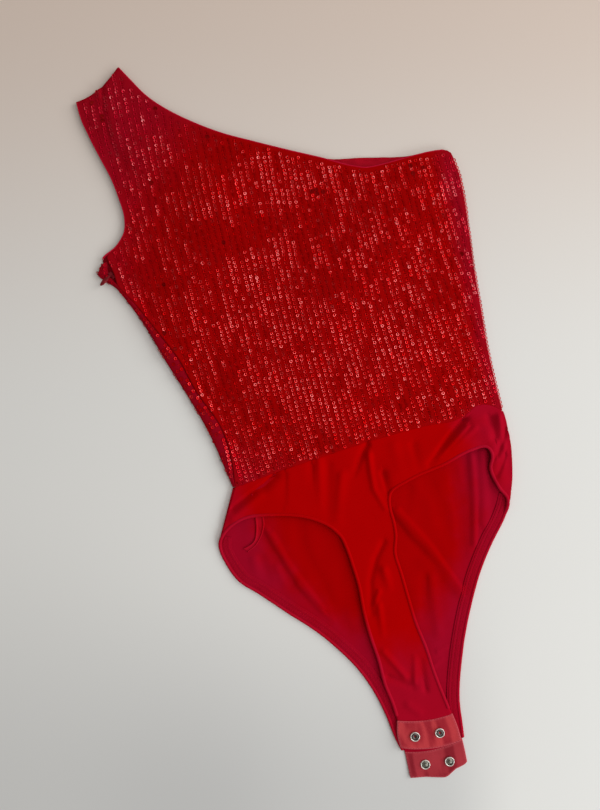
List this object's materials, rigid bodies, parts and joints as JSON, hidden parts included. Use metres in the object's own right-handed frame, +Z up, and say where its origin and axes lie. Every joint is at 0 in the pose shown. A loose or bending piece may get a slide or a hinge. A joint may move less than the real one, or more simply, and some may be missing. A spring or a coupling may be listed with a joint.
{
  "type": "one-shoulder bodysuit",
  "caption": "One-shoulder bodysuit laid flat, with a sequined bodice, a high-cut jersey brief, a snap crotch and a side zip.",
  "frame": {"origin": "on the surface that the garment lies on, under the centre of its outline", "axes": "+Y from the crotch to the shoulder along the garment's centre line, +X to the right of someone who looks down on its front, +Z up out of the surface"},
  "size_m": [0.3752, 0.7739, 0.0112],
  "materials": {
    "sequin_cloth": "rows of glossy sequins sewn on knit",
    "lining": "smooth matt knit",
    "jersey": "soft matt jersey",
    "twill_tape": "fine twill with a slight sheen",
    "zip_cloth": "woven tape",
    "snap_metal": "bright nickel plate",
    "zip_metal": "dark red lacquer"
  },
  "bodies": {
    "garment": {"front_bodice": "sequin_cloth", "back_bodice": "sequin_cloth", "back_neck_facing": "lining", "front_brief": "jersey", "back_brief": "jersey", "front_left_leg_hem": "jersey", "front_right_leg_hem": "jersey", "back_left_leg_hem": "jersey", "back_right_leg_hem": "jersey", "left_seam_allowance": "jersey", "front_snap_tape": "twill_tape", "back_snap_tape": "twill_tape", "snap_socket_left": "snap_metal", "snap_socket_right": "snap_metal", "snap_stud_left": "snap_metal", "snap_stud_right": "snap_metal", "zip_tape": "zip_cloth", "zip_slider": "zip_metal"},
    "zip_pull": {"zip_pull_tab": "zip_metal"}
  },
  "joints": [
    {"name": "zip_pull_hinge", "type": "hinge", "parent": "garment", "child": "zip_pull", "pos_m": [-0.1739, 0.1902, 0.0068], "axis": [-0.4939, 0.8695, 0], "range_deg": [0, 150]}
  ]
}
